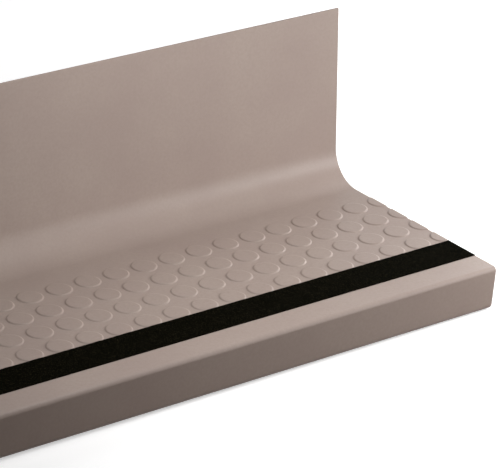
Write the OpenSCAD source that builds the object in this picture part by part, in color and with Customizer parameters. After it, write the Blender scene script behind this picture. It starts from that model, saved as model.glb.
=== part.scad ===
/* [Length] */
// Length along the edge of the stair
length = 914.4; // [300:0.1:1830]

/* [Tread] */
// Depth from the front of the nose to the face of the riser, at the tread's face
tread_depth = 306; // [260:1:420]
// Thickness of the tread at the nose
nose_thickness = 5.5; // [4:0.1:8]
// Thickness of the sheet in the cove and the riser, to which the tread thins out
sheet_thickness = 3.2; // [2:0.1:4]

/* [Nose] */
// Height of the nose, from the tread's face to the lower edge of its lip
nose_height = 57; // [40:1:80]
// Thickness of the lip
lip_thickness = 9.5; // [6:0.1:12]
// Angle by which the lip leans back under the tread
lip_lean = 3; // [0:0.5:8]
// Radius of the nose's upper edge
nose_radius = 5.5; // [2:0.1:6]
// Radius of the lip's lower edge at the front
lip_radius = 8.2; // [2:0.1:10]
// Radius of the fillet inside the nose
fillet_radius = 3; // [1:0.1:6]

/* [Riser] */
// Height of the riser's upper edge above the tread's face
riser_height = 223; // [150:1:260]
// Angle by which the riser leans back
riser_lean = 4; // [0:0.1:8]
// Radius of the cove between the tread and the riser
cove_radius = 45; // [25:1:60]
// Radius of the small edges: the riser's upper edge and the back of the lip's lower edge
edge_radius = 1; // [0.4:0.1:1]

/* [Studs] */
// Distance between the studs, along and across the tread
stud_pitch = 39.9; // [34:0.1:60]
// Diameter of a stud at its foot
stud_diameter = 32; // [20:0.5:33]
// Diameter of a stud's flat top
stud_top_diameter = 29.4; // [16:0.1:31]
// Height of the studs
stud_height = 1; // [0.5:0.1:3]
// Distance from the back of the strip's recess to the middle of the first row of studs
first_row = 12.9; // [0:0.1:30]

/* [Grit strip] */
// Distance from the front of the nose to the strip
strip_setback = 39; // [10:0.1:60]
// Width of the strip
strip_width = 48.4; // [20:0.1:60]
// Thickness of the strip
strip_thickness = 2.1; // [1.6:0.1:3]
// Height of the strip's face above the tread's face, here level with the tops of the studs
strip_proud = 1; // [0:0.1:1.5]
// Clearance between the strip and each side of its recess
strip_clearance = 0.2; // [0.1:0.1:0.5]
// Clearance under the strip, which its glue fills
glue_clearance = 0.1; // [0.05:0.05:0.3]

/* [Hidden] */
$fn = 96;

rubber_colour = [0.66, 0.6, 0.56];
grit_colour = [0.07, 0.07, 0.06];

// How far a cutter or a root runs past the face it crosses
overlap = 1;
// How far a rounding arc lies outside its true radius, so that it crosses its faces and doesn't just touch them
arc_overrun = 0.005;

// Everything up to the layout at rest is in the section's own plane:
// x runs back from the front of the nose, and y runs up from the tread's face.

// Directions along the faces
back = [1, 0];
lip_down = [sin(lip_lean), -cos(lip_lean)];
riser_up = [sin(riser_lean), cos(riser_lean)];
riser_out = [cos(riser_lean), -sin(riser_lean)];

// The tread's face meets the riser's in the corner that the cove fills
cove_corner = [tread_depth, 0];
cove_centre = corner_centre(cove_corner, -back, riser_up, cove_radius);
cove_start = cove_centre.x;
heel_corner = corner_centre(cove_corner, back, -riser_up, sheet_thickness);
riser_top = cove_corner + riser_height / riser_up.y * riser_up;
riser_top_back = riser_top + sheet_thickness * riser_out;

// The tread thins out from the nose to the start of the cove
taper = (nose_thickness - sheet_thickness) / cove_start;
underside_back = [1, taper] / norm([1, taper]);

// The lip's inner face is parallel to its front
lip_depth = lip_thickness / cos(lip_lean);
lip_foot_front = [nose_height * tan(lip_lean), -nose_height];
lip_foot_back = lip_foot_front + [lip_depth, 0];
inner_corner_y = (taper * lip_depth - nose_thickness) / (1 + taper * tan(lip_lean));
inner_corner = [lip_depth - inner_corner_y * tan(lip_lean), inner_corner_y];

// The lower front radius leaves a flat on the lip's foot and room for the small one at the back
least_foot_flat = 0.2;
lip_front_radius = min(lip_radius, lip_thickness - edge_radius - least_foot_flat);

strip_foot = strip_proud - strip_thickness;
recess_floor = strip_foot - glue_clearance;
recess_front = strip_setback - strip_clearance;
recess_back = strip_setback + strip_width + strip_clearance;

// The studs fill the flat between the strip and the cove, and a stud stands each side of the middle
row_start = recess_back + first_row;
stud_rows = floor((cove_start - stud_diameter / 2 - row_start) / stud_pitch) + 1;
half_columns = ceil((length + stud_diameter) / 2 / stud_pitch);
stud_slope = (stud_diameter - stud_top_diameter) / 2 / stud_height;

// Unheld on a floor, the part stands on the back of its lip and on the outside of its cove.
// The floor is the line tangent to those two rounds, so the part is stored tilted by its slope.
lip_heel = corner_centre(lip_foot_back, -back, -lip_down, edge_radius);
heel_radius = cove_radius + sheet_thickness;
heel_span = cove_centre - lip_heel;
rest_tilt = atan2(heel_span.y, heel_span.x) - asin((heel_radius - edge_radius) / norm(heel_span));

lip_toe = corner_centre(lip_foot_front, back, -lip_down, lip_front_radius);
floor_level = at_rest(lip_heel).y - edge_radius;
front_reach = at_rest(lip_toe).x - lip_front_radius;
riser_top_heel = corner_centre(riser_top_back, -riser_up, -riser_out, edge_radius);
back_reach = at_rest(riser_top_heel).x + edge_radius;

// A point of the section, turned to the tilt at rest about the section's origin
function at_rest(p) = [
    p.x * cos(rest_tilt) + p.y * sin(rest_tilt),
    p.y * cos(rest_tilt) - p.x * sin(rest_tilt)
];

// Centre of the arc that rounds a corner, from the unit directions along its two sides
function corner_centre(corner, a, b, radius) =
    corner + (a + b) / norm(a + b) * radius / sin(acos(a * b) / 2);

// Where that arc touches the side that runs along a
function touch_point(corner, a, b, radius) = corner + a * radius / tan(acos(a * b) / 2);

// What lies between a corner and the arc that rounds it, run on past both sides:
// it is cut from an outer corner, or added to an inner one.
module corner_piece(corner, a, b, radius) {
    centre = corner_centre(corner, a, b, radius);
    grown = 1 + overlap / radius;
    difference() {
        polygon([
            centre,
            centre + grown * (touch_point(corner, a, b, radius) - centre),
            centre + grown * (corner - centre),
            centre + grown * (touch_point(corner, b, a, radius) - centre)
        ]);
        translate(centre) circle(radius + arc_overrun);
    }
}

// The section with its corners still sharp
module sharp_section() {
    polygon([
        [0, 0],
        lip_foot_front,
        lip_foot_back,
        inner_corner,
        [cove_start, -sheet_thickness],
        heel_corner,
        riser_top_back,
        riser_top,
        cove_corner
    ]);
}

// The whole section of the moulding, without its studs
module section() {
    difference() {
        union() {
            sharp_section();
            corner_piece(inner_corner, underside_back, lip_down, fillet_radius);
            corner_piece(cove_corner, -back, riser_up, cove_radius);
        }
        corner_piece([0, 0], back, lip_down, nose_radius);
        corner_piece(lip_foot_front, back, -lip_down, lip_front_radius);
        corner_piece(lip_foot_back, -back, -lip_down, edge_radius);
        corner_piece(heel_corner, -back, riser_up, heel_radius);
        corner_piece(riser_top, riser_out, -riser_up, edge_radius);
        corner_piece(riser_top_back, -riser_out, -riser_up, edge_radius);
        translate([recess_front, recess_floor])
            square([recess_back - recess_front, overlap - recess_floor]);
    }
}

module stud() {
    foot = stud_diameter / 2 + stud_slope * overlap;
    translate([0, 0, -overlap])
        cylinder(r1 = foot, r2 = stud_top_diameter / 2, h = stud_height + overlap);
}

// The studs on a square grid, cut off by the ends and by the strip's recess
module studs() {
    intersection() {
        for (column = [-half_columns : half_columns - 1], row = [0 : stud_rows - 1])
            translate([(column + 0.5) * stud_pitch, row_start + row * stud_pitch, 0]) stud();
        translate([-length / 2, recess_back, -overlap])
            cube([length, cove_start - recess_back, stud_height + 2 * overlap]);
    }
}

// Runs a section along the stair's edge
module along_stair() {
    rotate([90, 0, 90]) linear_extrude(length, center = true) children();
}

// Stands the part on the floor, with the origin under the middle of its box
module standing() {
    translate([0, -(front_reach + back_reach) / 2, -floor_level])
        rotate([-rest_tilt, 0, 0]) children();
}

module tread_riser() {
    color(rubber_colour) standing() {
        along_stair() section();
        studs();
    }
}

module grit_strip() {
    color(grit_colour) standing() along_stair()
        translate([strip_setback, strip_foot]) square([strip_width, strip_thickness]);
}

tread_riser();
grit_strip();
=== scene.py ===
import math

import bmesh
import bpy
import numpy as np
from mathutils import Matrix, Vector
from mathutils.geometry import delaunay_2d_cdt


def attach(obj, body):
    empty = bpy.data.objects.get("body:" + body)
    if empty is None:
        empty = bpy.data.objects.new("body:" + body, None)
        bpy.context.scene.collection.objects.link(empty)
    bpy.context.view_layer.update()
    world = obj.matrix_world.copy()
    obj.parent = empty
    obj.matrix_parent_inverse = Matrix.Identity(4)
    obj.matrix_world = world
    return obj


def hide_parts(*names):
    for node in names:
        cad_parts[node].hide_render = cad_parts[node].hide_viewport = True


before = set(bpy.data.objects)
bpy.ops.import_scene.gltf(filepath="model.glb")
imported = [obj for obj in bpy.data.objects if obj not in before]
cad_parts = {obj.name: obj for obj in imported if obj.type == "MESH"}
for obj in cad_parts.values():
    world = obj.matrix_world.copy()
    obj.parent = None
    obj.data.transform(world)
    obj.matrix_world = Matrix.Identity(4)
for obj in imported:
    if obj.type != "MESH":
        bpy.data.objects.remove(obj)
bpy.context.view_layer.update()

# Sizes of the moulding, in metres and degrees, as the part's source has them
LENGTH = 0.9144
TREAD_DEPTH = 0.306
NOSE_THICKNESS = 0.0055
SHEET_THICKNESS = 0.0032
NOSE_HEIGHT = 0.057
LIP_THICKNESS = 0.0095
LIP_LEAN = 3
NOSE_RADIUS = 0.0055
LIP_RADIUS = 0.0082
FILLET_RADIUS = 0.003
RISER_HEIGHT = 0.223
RISER_LEAN = 4
COVE_RADIUS = 0.045
EDGE_RADIUS = 0.001

# Sizes of the studs, and the distance from the recess to the middle of their first row
STUD_PITCH = 0.0399
STUD_DIAMETER = 0.032
STUD_TOP_DIAMETER = 0.0294
STUD_HEIGHT = 0.001
FIRST_ROW = 0.0129

# Sizes of the grit strip and its recess
STRIP_SETBACK = 0.039
STRIP_WIDTH = 0.0484
STRIP_THICKNESS = 0.0021
STRIP_PROUD = 0.001
STRIP_CLEARANCE = 0.0002
GLUE_CLEARANCE = 0.0001

# Soft edges that the moulded and cut rubber has
STUD_TOP_ROUND = 0.0028
STUD_FOOT_ROUND = 0.0018
CUT_EDGE_ROUND = 0.0004

# At a cut end's round, a corner moves in by at most this many times as much as a flat side
MOST_CORNER_MOVE = 1.5

# How finely the moulding is divided: how far a chord may lie from its arc, the fewest steps of an arc,
# and the steps of a cut end's round, of one side of a stud's square cell and of the section's flats
CHORD_ERROR = 0.00002
LEAST_ARC_STEPS = 3
CUT_EDGE_STEPS = 3
CELL_STEPS = 12
FLAT_STEPS = 4
UNDERSIDE_STEPS = 8
RISER_FACE_STEPS = 8
RISER_BACK_STEPS = 6

# Radii of the rings of points on a stud's flat top, as shares of the flat's own radius
FLAT_TOP_RINGS = (0.8, 0.45)

# The direction, in degrees, of the corner at which the points round a stud's cell start
CELL_START = -135

# Points of the mesh that are nearer than the first are merged, what is nearer to a plane than the second
# lies in it, and points that are filled with triangles are the same if they are nearer than the third
MERGE_DISTANCE = 1e-6
PLANE_DISTANCE = 1e-7
SAME_POINT = 1e-9

# The moulding is smooth where its faces turn by fewer degrees than this
SMOOTH_BELOW = 35

# Size of the strip's grains, how far they lie from a regular grid, as a share of that size,
# how deep the hollows between them are, and the seed of their random places and heights
GRAIN_SIZE = 0.00075
GRAIN_WANDER = 0.35
GRAIN_DEPTH = 0.00024
GRAIN_SEED = 11

# The photograph's camera, found from the grid of studs. Its angles are taken in the tread's own frame,
# and its place is in stud pitches from the last stud of the back row at the right end.
IMAGE_WIDTH = 500
SENSOR_WIDTH = 36
FOCAL_PIXELS = 2978
CAMERA_AZIMUTH = 38.633
CAMERA_ELEVATION = 24.649
CAMERA_ROLL = 3.166
CAMERA_PITCHES = Vector((-55.933, -63.622, 37.482))

# The distances between which the camera sees
CLIP_START = 0.1
CLIP_END = 50

# Numbers of the axes
X, Y, Z = range(3)


def leaning(degrees):
    """Unit direction in the section's plane, from the degrees that it turns from back towards up."""
    turn = math.radians(degrees)
    return Vector((math.cos(turn), math.sin(turn)))


# Directions in the section, whose first axis runs back from the nose and whose second runs up
# from the tread's face
BACK = leaning(0)
LIP_DOWN = leaning(LIP_LEAN - 90)
RISER_UP = leaning(90 - RISER_LEAN)
RISER_OUT = leaning(-RISER_LEAN)


def half_angle(a, b):
    """Half of the angle between two unit directions, in radians."""
    return math.acos(max(-1, min(1, a.dot(b)))) / 2


def corner_centre(corner, a, b, radius):
    """Centre of the arc that rounds a corner, from the unit directions along its two sides."""
    return corner + (a + b).normalized() * radius / math.sin(half_angle(a, b))


def rounded(corner, a, b, radius):
    """Points of that arc, from the side along a to the side along b."""
    centre = corner_centre(corner, a, b, radius)
    reach = radius / math.tan(half_angle(a, b))
    start = corner + a * reach - centre
    turn = start.angle_signed(corner + b * reach - centre)
    longest_step = 2 * math.acos(1 - CHORD_ERROR / radius)
    steps = max(LEAST_ARC_STEPS, math.ceil(abs(turn) / longest_step))
    return [centre + Matrix.Rotation(-turn * i / steps, 2) @ start for i in range(steps + 1)]


def straight(start, end, steps):
    """Points between two places, without the places themselves."""
    return [start.lerp(end, i / steps) for i in range(1, steps)]


class Section:
    """The moulding's corners and the studs' places, worked out from the sizes as the part's source does."""

    def __init__(self):
        self.cove_corner = Vector((TREAD_DEPTH, 0))
        self.cove_centre = corner_centre(self.cove_corner, -BACK, RISER_UP, COVE_RADIUS)
        self.heel_corner = corner_centre(self.cove_corner, BACK, -RISER_UP, SHEET_THICKNESS)
        self.riser_top = self.cove_corner + RISER_UP * RISER_HEIGHT / RISER_UP.y
        self.riser_top_back = self.riser_top + RISER_OUT * SHEET_THICKNESS
        taper = (NOSE_THICKNESS - SHEET_THICKNESS) / self.cove_centre.x
        self.underside_back = Vector((1, taper)).normalized()
        lip_slope = math.tan(math.radians(LIP_LEAN))
        lip_depth = LIP_THICKNESS / math.cos(math.radians(LIP_LEAN))
        self.lip_foot_front = Vector((NOSE_HEIGHT * lip_slope, -NOSE_HEIGHT))
        self.lip_foot_back = self.lip_foot_front + Vector((lip_depth, 0))
        inner_height = (taper * lip_depth - NOSE_THICKNESS) / (1 + taper * lip_slope)
        self.inner_corner = Vector((lip_depth - inner_height * lip_slope, inner_height))
        self.strip_foot = STRIP_PROUD - STRIP_THICKNESS
        self.recess_floor = self.strip_foot - GLUE_CLEARANCE
        self.recess_front = STRIP_SETBACK - STRIP_CLEARANCE
        self.recess_back = STRIP_SETBACK + STRIP_WIDTH + STRIP_CLEARANCE
        self.row_start = self.recess_back + FIRST_ROW
        flat_for_rows = self.cove_centre.x - STUD_DIAMETER / 2 - self.row_start
        self.stud_rows = math.floor(flat_for_rows / STUD_PITCH) + 1
        self.stud_columns = 2 * math.ceil((LENGTH + STUD_DIAMETER) / 2 / STUD_PITCH)

    def resting(self):
        """The move that stands the part on the floor at rest, with the origin under its middle."""
        heel_radius = COVE_RADIUS + SHEET_THICKNESS
        lip_heel = corner_centre(self.lip_foot_back, -BACK, -LIP_DOWN, EDGE_RADIUS)
        span = self.cove_centre - lip_heel
        tilt = math.atan2(span.y, span.x) - math.asin((heel_radius - EDGE_RADIUS) / span.length)
        turned = Matrix.Rotation(-tilt, 2)
        toe = turned @ corner_centre(self.lip_foot_front, BACK, -LIP_DOWN, LIP_RADIUS)
        top = turned @ corner_centre(self.riser_top_back, -RISER_UP, -RISER_OUT, EDGE_RADIUS)
        middle = (toe.x - LIP_RADIUS + top.x + EDGE_RADIUS) / 2
        floor = (turned @ lip_heel).y - EDGE_RADIUS
        return Matrix.Translation((0, -middle, -floor)) @ Matrix.Rotation(-tilt, 4, "X")

    def shell_path(self):
        """The section from behind the studs round to the front of the recess's floor."""
        behind_studs = Vector((self.row_start + (self.stud_rows - 0.5) * STUD_PITCH, 0))
        cove = rounded(self.cove_corner, -BACK, RISER_UP, COVE_RADIUS)
        top = rounded(self.riser_top, -RISER_UP, RISER_OUT, EDGE_RADIUS)
        top += rounded(self.riser_top_back, -RISER_OUT, -RISER_UP, EDGE_RADIUS)
        heel = rounded(self.heel_corner, RISER_UP, -BACK, COVE_RADIUS + SHEET_THICKNESS)
        fillet = rounded(self.inner_corner, self.underside_back, LIP_DOWN, FILLET_RADIUS)
        foot = rounded(self.lip_foot_back, -LIP_DOWN, -BACK, EDGE_RADIUS)
        foot += rounded(self.lip_foot_front, BACK, -LIP_DOWN, LIP_RADIUS)
        nose = rounded(Vector((0, 0)), LIP_DOWN, BACK, NOSE_RADIUS)
        recess = [Vector((self.recess_front, 0)), Vector((self.recess_front, self.recess_floor))]
        stretches = (
            (FLAT_STEPS, cove),
            (RISER_FACE_STEPS, top),
            (RISER_BACK_STEPS, heel),
            (UNDERSIDE_STEPS, fillet),
            (FLAT_STEPS, foot),
            (FLAT_STEPS, nose),
            (FLAT_STEPS, recess),
        )
        path = [behind_studs]
        for steps, corner in stretches:
            path += straight(path[-1], corner[0], steps) + corner
        return path


section = Section()
RESTING = section.resting()


def stud_profile():
    """A stud's radius and height, from outside its foot to the flat of its top."""
    foot = Vector((STUD_DIAMETER / 2, 0))
    shoulder = Vector((STUD_TOP_DIAMETER / 2, STUD_HEIGHT))
    slope = (shoulder - foot).normalized()
    profile = rounded(foot, BACK, slope, STUD_FOOT_ROUND)
    profile += rounded(shoulder, -slope, -BACK, STUD_TOP_ROUND)
    flat = profile[-1]
    return profile + [Vector((flat.x * share, flat.y)) for share in FLAT_TOP_RINGS]


def cell_rim():
    """Points round a stud's square cell, as shares of half its side, from a corner and counterclockwise."""
    side = [Vector((2 * i / CELL_STEPS - 1, -1)) for i in range(CELL_STEPS)]
    quarter_turns = [Matrix.Rotation(math.radians(90 * i), 2) for i in range(4)]
    return [turn @ point for turn in quarter_turns for point in side]


def join_rings(mesh, inner, outer):
    """A band of faces between two rings of as many vertices."""
    for i, vertex in enumerate(outer):
        following = (i + 1) % len(outer)
        mesh.faces.new((vertex, outer[following], inner[following], inner[i]))


def add_stud(mesh, x, y, profile, rim):
    """One stud in the middle of its square cell of the tread's face."""
    half = STUD_PITCH / 2
    ring = [mesh.verts.new((x + point.x * half, y + point.y * half, 0)) for point in rim]
    for radius, height in profile:
        circle = []
        for i in range(len(rim)):
            turn = math.radians(360 * i / len(rim) + CELL_START)
            place = (x + radius * math.cos(turn), y + radius * math.sin(turn), height)
            circle.append(mesh.verts.new(place))
        join_rings(mesh, circle, ring)
        ring = circle
    middle = mesh.verts.new((x, y, STUD_HEIGHT))
    for i, vertex in enumerate(ring):
        mesh.faces.new((vertex, ring[(i + 1) % len(ring)], middle))


def ends_of(edges):
    """The vertices of some edges, each of them once."""
    return list(dict.fromkeys(vertex for edge in edges for vertex in edge.verts))


def lies_at(edge, axis, value):
    """Whether both ends of an edge have the given value of one coordinate."""
    return all(abs(vertex.co[axis] - value) < PLANE_DISTANCE for vertex in edge.verts)


def cut(mesh, place, direction):
    """Cuts the mesh at a plane, drops what lies past it and returns the edges of the cut."""
    everything = mesh.verts[:] + mesh.edges[:] + mesh.faces[:]
    made = bmesh.ops.bisect_plane(
        mesh, geom=everything, dist=PLANE_DISTANCE, plane_co=place, plane_no=direction, clear_outer=True)
    return [item for item in made["geom_cut"] if isinstance(item, bmesh.types.BMEdge)]


def extrude(mesh, edges, axis, value):
    """Draws a wall from the edges to the given value of one coordinate, and returns its far edges."""
    made = bmesh.ops.extrude_edge_only(mesh, edges=edges)["geom"]
    for item in made:
        if isinstance(item, bmesh.types.BMVert):
            item.co[axis] = value
    return [item for item in made if isinstance(item, bmesh.types.BMEdge) and lies_at(item, axis, value)]


def fill(mesh, loop, across, up):
    """Closes a flat loop of vertices with triangles; across and up number the two axes of its plane."""
    points = [Vector((vertex.co[across], vertex.co[up])) for vertex in loop]
    outline = range(len(loop))
    only_inside = 1
    _, _, triangles, sources, _, _ = delaunay_2d_cdt(points, [], [outline], only_inside, SAME_POINT)
    for triangle in triangles:
        mesh.faces.new([loop[sources[corner][0]] for corner in triangle])


def add_studded_band(mesh):
    """The studs' cells, cut off by the recess, and its back wall, whose lowest vertices are returned."""
    profile = stud_profile()
    rim = cell_rim()
    for column in range(section.stud_columns):
        x = (column - (section.stud_columns - 1) / 2) * STUD_PITCH
        for row in range(section.stud_rows):
            add_stud(mesh, x, section.row_start + row * STUD_PITCH, profile, rim)
    brink = cut(mesh, (0, section.recess_back, 0), (0, -1, 0))
    return ends_of(extrude(mesh, brink, Z, section.recess_floor))


def add_shell(mesh):
    """The rest of the surface, swept along the stair, whose vertices at the recess's floor are returned."""
    path = section.shell_path()
    steps = section.stud_columns * CELL_STEPS
    reach = section.stud_columns * STUD_PITCH / 2
    rows = []
    for i in range(steps + 1):
        x = -reach + STUD_PITCH * i / CELL_STEPS
        rows.append([mesh.verts.new((x, point.x, point.y)) for point in path])
    for row, following in zip(rows, rows[1:]):
        for i in range(len(path) - 1):
            mesh.faces.new((row[i], row[i + 1], following[i + 1], following[i]))
    return [row[-1] for row in rows]


def in_order(edges):
    """The vertices of a closed loop of edges, one after the other."""
    around = {}
    for edge in edges:
        for vertex in edge.verts:
            around.setdefault(vertex, []).append(edge.other_vert(vertex))
    first = edges[0].verts[0]
    last = first
    current = around[first][0]
    loop = [first]
    while current is not first:
        loop.append(current)
        onward = [vertex for vertex in around[current] if vertex is not last]
        last = current
        current = onward[0]
    return loop


def inward(loop):
    """The direction into a loop across the stair at each of its vertices, longer at its corners."""
    points = [Vector((vertex.co.y, vertex.co.z)) for vertex in loop]
    count = len(points)
    area = sum(points[i - 1].cross(points[i]) for i in range(count))
    side = 1 if area > 0 else -1
    moves = []
    for i in range(count):
        before = (points[i] - points[i - 1]).normalized()
        after = (points[(i + 1) % count] - points[i]).normalized()
        across = (before + after).normalized()
        stretch = 1 / max(1 / MOST_CORNER_MOVE, across.dot(before))
        moves.append(Vector((0, -across.y, across.x)) * side * stretch)
    return moves


def close_end(mesh, side):
    """Cuts the moulding square at one end, rounds the cut's edge a little and closes it."""
    place = side * (LENGTH / 2 - CUT_EDGE_ROUND)
    made = cut(mesh, (place, 0, 0), (side, 0, 0))
    bmesh.ops.remove_doubles(mesh, verts=ends_of(made), dist=MERGE_DISTANCE)
    loop = in_order([edge for edge in mesh.edges if edge.is_boundary and lies_at(edge, X, place)])
    moves = inward(loop)
    ring = loop
    for step in range(1, CUT_EDGE_STEPS + 1):
        turn = math.radians(90 * step / CUT_EDGE_STEPS)
        x = place + side * CUT_EDGE_ROUND * math.sin(turn)
        inset = CUT_EDGE_ROUND * (1 - math.cos(turn))
        following = []
        for vertex, move in zip(loop, moves):
            point = vertex.co + move * inset
            following.append(mesh.verts.new((x, point.y, point.z)))
        join_rings(mesh, following, ring)
        ring = following
    fill(mesh, ring, Y, Z)


def finished(name, mesh, smooth):
    """Stands a mesh at rest and makes an object of it, with smooth faces or flat ones."""
    bmesh.ops.recalc_face_normals(mesh, faces=mesh.faces[:])
    mesh.transform(RESTING)
    data = bpy.data.meshes.new(name)
    mesh.to_mesh(data)
    mesh.free()
    if smooth:
        data.shade_smooth()
        data.set_sharp_from_angle(angle=math.radians(SMOOTH_BELOW))
    piece = bpy.data.objects.new(name, data)
    bpy.context.scene.collection.objects.link(piece)
    return piece


def make_moulding():
    """The tread, nose, cove and riser in one piece of rubber."""
    mesh = bmesh.new()
    floor_back = sorted(add_studded_band(mesh), key=lambda vertex: vertex.co.x)
    floor_front = sorted(add_shell(mesh), key=lambda vertex: -vertex.co.x)
    fill(mesh, floor_back + floor_front, X, Y)
    bmesh.ops.remove_doubles(mesh, verts=mesh.verts[:], dist=MERGE_DISTANCE)
    for side in (-1, 1):
        close_end(mesh, side)
    piece = finished("moulded_tread_riser", mesh, smooth=True)
    flats = piece.modifiers.new("flat_faces_shade_flat", "WEIGHTED_NORMAL")
    flats.keep_sharp = True
    return piece


def make_strip():
    """The strip of grit: a bed of grains at random heights, with plain sides."""
    random = np.random.default_rng(GRAIN_SEED)
    columns = round(LENGTH / GRAIN_SIZE) + 1
    rows = round(STRIP_WIDTH / GRAIN_SIZE) + 1
    along = np.linspace(-LENGTH / 2, LENGTH / 2, columns)
    across = np.linspace(STRIP_SETBACK, STRIP_SETBACK + STRIP_WIDTH, rows)
    x, y = np.meshgrid(along, across, indexing="ij")
    # The points at the rim stay in line, level with the deepest hollows
    inner = np.zeros(x.shape)
    inner[1:-1, 1:-1] = 1
    wander = GRAIN_WANDER * GRAIN_SIZE
    x = x + inner * random.uniform(-wander, wander, x.shape)
    y = y + inner * random.uniform(-wander, wander, x.shape)
    height = STRIP_PROUD - GRAIN_DEPTH * (1 - inner * random.random(x.shape))
    points = np.stack([x, y, height], axis=-1).reshape(-1, 3)
    order = np.arange(columns * rows).reshape(x.shape)
    corners = [order[:-1, :-1], order[1:, :-1], order[1:, 1:], order[:-1, 1:]]
    faces = np.stack(corners, axis=-1).reshape(-1, 4)
    data = bpy.data.meshes.new("grains")
    data.from_pydata(points.tolist(), [], faces.tolist())
    mesh = bmesh.new()
    mesh.from_mesh(data)
    bpy.data.meshes.remove(data)
    rim = [edge for edge in mesh.edges if edge.is_boundary]
    foot = extrude(mesh, rim, Z, section.strip_foot)
    fill(mesh, in_order(foot), X, Y)
    return finished("grit_strip_grains", mesh, smooth=False)


class Nodes:
    """The node tree of a material or of the world, with short calls to add nodes and links."""

    def __init__(self, owner):
        self.owner = owner
        owner.use_nodes = True
        self.tree = owner.node_tree
        self.tree.nodes.clear()

    def add(self, kind, **settings):
        """A node with its properties set; its inputs are set by put()."""
        node = self.tree.nodes.new(kind)
        for key, value in settings.items():
            setattr(node, key, value)
        return node

    def link(self, output, socket):
        """Feeds an input from an output."""
        self.tree.links.new(output, socket)

    def put(self, node, **values):
        """Sets inputs by their names in lower case, or links them where the value is an output."""
        for key, value in values.items():
            socket = self.find(node, key)
            if isinstance(value, bpy.types.NodeSocket):
                self.link(value, socket)
            else:
                socket.default_value = value
        return node

    @staticmethod
    def find(node, key):
        """The usable input whose name, in lower case with underscores, is the key."""
        for socket in node.inputs:
            if socket.enabled and socket.name.lower().replace(" ", "_") == key:
                return socket
        raise KeyError(key)


def object_place(nodes):
    """The place on the object, in metres."""
    return nodes.add("ShaderNodeTexCoord").outputs["Object"]


def noise(nodes, place, size, detail):
    """Smooth noise from 0 to 1 whose lumps are about the given size in metres."""
    node = nodes.add("ShaderNodeTexNoise")
    nodes.put(node, vector=place, scale=1 / size, detail=detail)
    return node.outputs["Fac"]


def remap(nodes, value, between, results):
    """Stretches a value from one range to another, and holds it there."""
    node = nodes.add("ShaderNodeMapRange")
    nodes.put(node, value=value, from_min=between[0], from_max=between[1])
    nodes.put(node, to_min=results[0], to_max=results[1])
    return node.outputs["Result"]


def blend(nodes, factor, first, second):
    """Mixes two colours."""
    node = nodes.add("ShaderNodeMix", data_type="RGBA")
    nodes.put(node, factor=factor, a=first, b=second)
    return next(output for output in node.outputs if output.enabled)


def bump(nodes, height, depth, normal=None):
    """A bump whose height of 1 stands for the given depth in metres."""
    node = nodes.add("ShaderNodeBump")
    nodes.put(node, height=height, distance=depth, strength=1)
    if normal is not None:
        nodes.put(node, normal=normal)
    return node.outputs["Normal"]


def finish_material(nodes, **values):
    """Ends a node tree in one plain surface shader."""
    shader = nodes.add("ShaderNodeBsdfPrincipled")
    nodes.put(shader, **values)
    out = nodes.add("ShaderNodeOutputMaterial")
    nodes.put(out, surface=shader.outputs["BSDF"])
    return nodes.owner


def linear(red, green, blue):
    """A colour written as it looks on screen, from 0 to 255, as the shader takes it."""
    def channel(value):
        share = value / 255
        return share / 12.92 if share <= 0.04045 else ((share + 0.055) / 1.055) ** 2.4
    return (channel(red), channel(green), channel(blue), 1)


# The rubber's two clouded shades and the shade of its flecks, which mix in by at most a share
RUBBER_DARK = linear(168, 151, 143)
RUBBER_PALE = linear(174, 158, 149)
FLECK_SHADE = linear(160, 144, 135)
FLECK_SHARE = 0.35

# Sizes of the rubber's clouds, flecks, grains and waves, and how far all but the clouds stand out
CLOUD_SIZE = 0.09
FLECK_SIZE = 0.0035
FLECK_DEPTH = 0.00004
RUBBER_GRAIN_SIZE = 0.0009
RUBBER_GRAIN_DEPTH = 0.00003
WAVE_SIZE = 0.12
WAVE_DEPTH = 0.0006

# The values between which most of a noise lies, and those between which a fleck grows to its full shade
NOISE_SPAN = (0.3, 0.7)
FLECK_SPAN = (0.35, 0.7)

# The rubber's roughness, from between its flecks to the flecks, and how much it mirrors
RUBBER_ROUGHNESS = (0.38, 0.44)
RUBBER_GLOSS = 0.2


def taupe_rubber():
    """Satin moulded rubber: faint clouding, a fine grain and slow waves in the sheet."""
    nodes = Nodes(bpy.data.materials.new("taupe_rubber"))
    place = object_place(nodes)
    clouds = noise(nodes, place, CLOUD_SIZE, detail=3)
    flecks = noise(nodes, place, FLECK_SIZE, detail=3)
    grain = noise(nodes, place, RUBBER_GRAIN_SIZE, detail=2)
    waves = noise(nodes, place, WAVE_SIZE, detail=1)
    colour = blend(nodes, remap(nodes, clouds, NOISE_SPAN, (0, 1)), RUBBER_DARK, RUBBER_PALE)
    colour = blend(nodes, remap(nodes, flecks, FLECK_SPAN, (0, FLECK_SHARE)), colour, FLECK_SHADE)
    roughness = remap(nodes, flecks, NOISE_SPAN, RUBBER_ROUGHNESS)
    normal = bump(nodes, waves, WAVE_DEPTH)
    normal = bump(nodes, flecks, FLECK_DEPTH, normal)
    normal = bump(nodes, grain, RUBBER_GRAIN_DEPTH, normal)
    return finish_material(
        nodes, base_color=colour, roughness=roughness, specular_ior_level=RUBBER_GLOSS, normal=normal)


# The grit's shades, and the draw from 0 to 1 above which a grain grows paler
GRIT_DARK = linear(6, 6, 3)
GRIT_PALE = linear(42, 38, 27)
PALE_ABOVE = 0.8

# Size and depth of the bumps on each grain
GRIT_FINE_SIZE = 0.0004
GRIT_FINE_DEPTH = 0.00012

# The grains' roughness, drawn between these for each, and how much they mirror
GRIT_ROUGHNESS = (0.55, 0.9)
GRIT_GLOSS = 0.004


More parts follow.
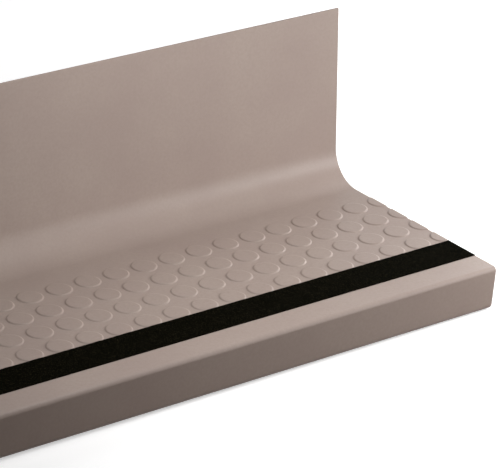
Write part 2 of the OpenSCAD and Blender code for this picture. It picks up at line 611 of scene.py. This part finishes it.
def black_grit():
    """Mineral grains in black binder, a few of them paler."""
    nodes = Nodes(bpy.data.materials.new("black_grit"))
    place = object_place(nodes)
    grains = nodes.add("ShaderNodeTexVoronoi", feature="F1")
    nodes.put(grains, vector=place, scale=1 / GRAIN_SIZE)
    draws = nodes.add("ShaderNodeSeparateColor")
    nodes.put(draws, color=grains.outputs["Color"])
    paleness = remap(nodes, draws.outputs["Red"], (PALE_ABOVE, 1), (0, 1))
    colour = blend(nodes, paleness, GRIT_DARK, GRIT_PALE)
    roughness = remap(nodes, draws.outputs["Green"], (0, 1), GRIT_ROUGHNESS)
    normal = bump(nodes, noise(nodes, place, GRIT_FINE_SIZE, detail=2), GRIT_FINE_DEPTH)
    return finish_material(
        nodes, base_color=colour, roughness=roughness, specular_ior_level=GRIT_GLOSS, normal=normal)


def seen_by_eye(nodes):
    """1 for a ray from the camera, a reflection or a clear thing, and 0 for one that only lights things."""
    path = nodes.add("ShaderNodeLightPath")
    seen = path.outputs["Is Camera Ray"]
    for kind in ("Is Glossy Ray", "Is Transmission Ray"):
        either = nodes.add("ShaderNodeMath", operation="MAXIMUM")
        nodes.link(seen, either.inputs[0])
        nodes.link(path.outputs[kind], either.inputs[1])
        seen = either.outputs[0]
    return seen


def shown_or_lighting(nodes, lighting, shown, output):
    """Ends the tree in one shader for the rays that light the object and another for those that see."""
    choice = nodes.add("ShaderNodeMixShader")
    nodes.link(seen_by_eye(nodes), choice.inputs[0])
    nodes.link(lighting.outputs[0], choice.inputs[1])
    nodes.link(shown.outputs[0], choice.inputs[2])
    nodes.put(nodes.add(output), surface=choice.outputs[0])


WHITE = (1, 1, 1, 1)

# How far the floor reaches from the middle, how much light it gives back to the object,
# and its own colour where it is seen
FLOOR_REACH = 8
FLOOR_BOUNCE = (0.10, 0.05, 0.02, 1)
FLOOR_COLOUR = (0.9, 0.9, 0.9, 1)

# How pale the floor looks by itself near the object, and the distances between which it grows white,
# as nothing else makes it so far from the lamps
FLOOR_GLOW = 0.45
GLOW_STARTS = 0.7
GLOW_FULL = 1.4


def floor_material():
    """White to the eye, with the object's shadow on it, though it throws little light back."""
    nodes = Nodes(bpy.data.materials.new("floor"))
    dull = nodes.add("ShaderNodeBsdfDiffuse")
    nodes.put(dull, color=FLOOR_BOUNCE)
    white = nodes.add("ShaderNodeBsdfDiffuse")
    nodes.put(white, color=FLOOR_COLOUR)
    place = nodes.add("ShaderNodeNewGeometry")
    distance = nodes.add("ShaderNodeVectorMath", operation="LENGTH")
    nodes.link(place.outputs["Position"], distance.inputs[0])
    strength = remap(nodes, distance.outputs["Value"], (GLOW_STARTS, GLOW_FULL), (FLOOR_GLOW, 1))
    glow = nodes.add("ShaderNodeEmission")
    nodes.put(glow, color=WHITE, strength=strength)
    pale = nodes.add("ShaderNodeAddShader")
    nodes.link(white.outputs[0], pale.inputs[0])
    nodes.link(glow.outputs[0], pale.inputs[1])
    shown_or_lighting(nodes, dull, pale, "ShaderNodeOutputMaterial")
    return nodes.owner


def make_floor():
    """A plain level floor under the object."""
    mesh = bmesh.new()
    bmesh.ops.create_grid(mesh, x_segments=1, y_segments=1, size=FLOOR_REACH)
    data = bpy.data.meshes.new("floor")
    mesh.to_mesh(data)
    mesh.free()
    data.materials.append(floor_material())
    floor = bpy.data.objects.new("floor", data)
    bpy.context.scene.collection.objects.link(floor)


# The soft light from all round
SKY_STRENGTH = 0.02

# The lamps: a key lamp low on the right, weaker ones in front of it and behind it, one close above
# the nose, one high behind the riser, and one low behind it for its back. Each is a square
# of a size in metres at a place, with a power in watts.
LAMPS = {
    "key": {"place": Vector((0.95, -0.35, 0.38)), "size": 0.25, "power": 4.45},
    "front": {"place": Vector((0.9, -0.9, 0.5)), "size": 0.5, "power": 3},
    "above": {"place": Vector((0.1, -0.15, 0.6)), "size": 0.3, "power": 1.8},
    "right": {"place": Vector((1, 0.3, 0.35)), "size": 0.3, "power": 1.7},
    "high": {"place": Vector((0.3, 1.2, 1.6)), "size": 0.8, "power": 4.9},
    "back": {"place": Vector((-0.3, 1.8, 0.7)), "size": 1, "power": 12},
}


def add_lamp(name, place, size, power):
    """A square lamp that faces the middle of the scene."""
    light = bpy.data.lights.new(name, "AREA")
    light.shape = "SQUARE"
    light.size = size
    light.energy = power
    lamp = bpy.data.objects.new(name, light)
    lamp.location = place
    lamp.rotation_mode = "QUATERNION"
    lamp.rotation_quaternion = (-place).to_track_quat("-Z", "Y")
    bpy.context.scene.collection.objects.link(lamp)


def make_lights():
    """The world, which is white to the eye and gives a little light, and the lamps."""
    world = bpy.data.worlds.new("studio")
    bpy.context.scene.world = world
    nodes = Nodes(world)
    soft = nodes.add("ShaderNodeBackground")
    nodes.put(soft, color=WHITE, strength=SKY_STRENGTH)
    white = nodes.add("ShaderNodeBackground")
    nodes.put(white, color=WHITE, strength=1)
    shown_or_lighting(nodes, soft, white, "ShaderNodeOutputWorld")
    for name, lamp in LAMPS.items():
        add_lamp(name, **lamp)


def make_camera():
    """The photograph's camera, turned with the part as it comes to rest."""
    azimuth = math.radians(CAMERA_AZIMUTH)
    elevation = math.radians(CAMERA_ELEVATION)
    roll = math.radians(CAMERA_ROLL)
    flat = math.cos(elevation)
    ahead = Vector((math.sin(azimuth) * flat, math.cos(azimuth) * flat, -math.sin(elevation)))
    level = Vector((math.cos(azimuth), -math.sin(azimuth), 0))
    below = ahead.cross(level)
    right = level * math.cos(roll) - below * math.sin(roll)
    up = -(below * math.cos(roll) + level * math.sin(roll))
    turn = Matrix((right, up, -ahead)).transposed().to_4x4()
    last_stud = Vector(((section.stud_columns - 1) / 2 * STUD_PITCH,
                        section.row_start + (section.stud_rows - 1) * STUD_PITCH, 0))
    data = bpy.data.cameras.new("camera")
    data.sensor_width = SENSOR_WIDTH
    data.lens = SENSOR_WIDTH * FOCAL_PIXELS / IMAGE_WIDTH
    data.clip_start = CLIP_START
    data.clip_end = CLIP_END
    camera = bpy.data.objects.new("camera", data)
    camera.matrix_world = RESTING @ Matrix.Translation(last_stud + CAMERA_PITCHES * STUD_PITCH) @ turn
    bpy.context.scene.collection.objects.link(camera)
    bpy.context.scene.camera = camera


def dress(piece, node, material):
    """Gives a piece its finish, and puts it in place of its CAD node."""
    piece.data.materials.clear()
    piece.data.materials.append(material)
    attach(piece, "root")
    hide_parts(node)


dress(make_moulding(), "tread_riser", taupe_rubber())
dress(make_strip(), "grit_strip", black_grit())
make_floor()
make_lights()
make_camera()
bpy.context.scene.view_settings.view_transform = "Standard"
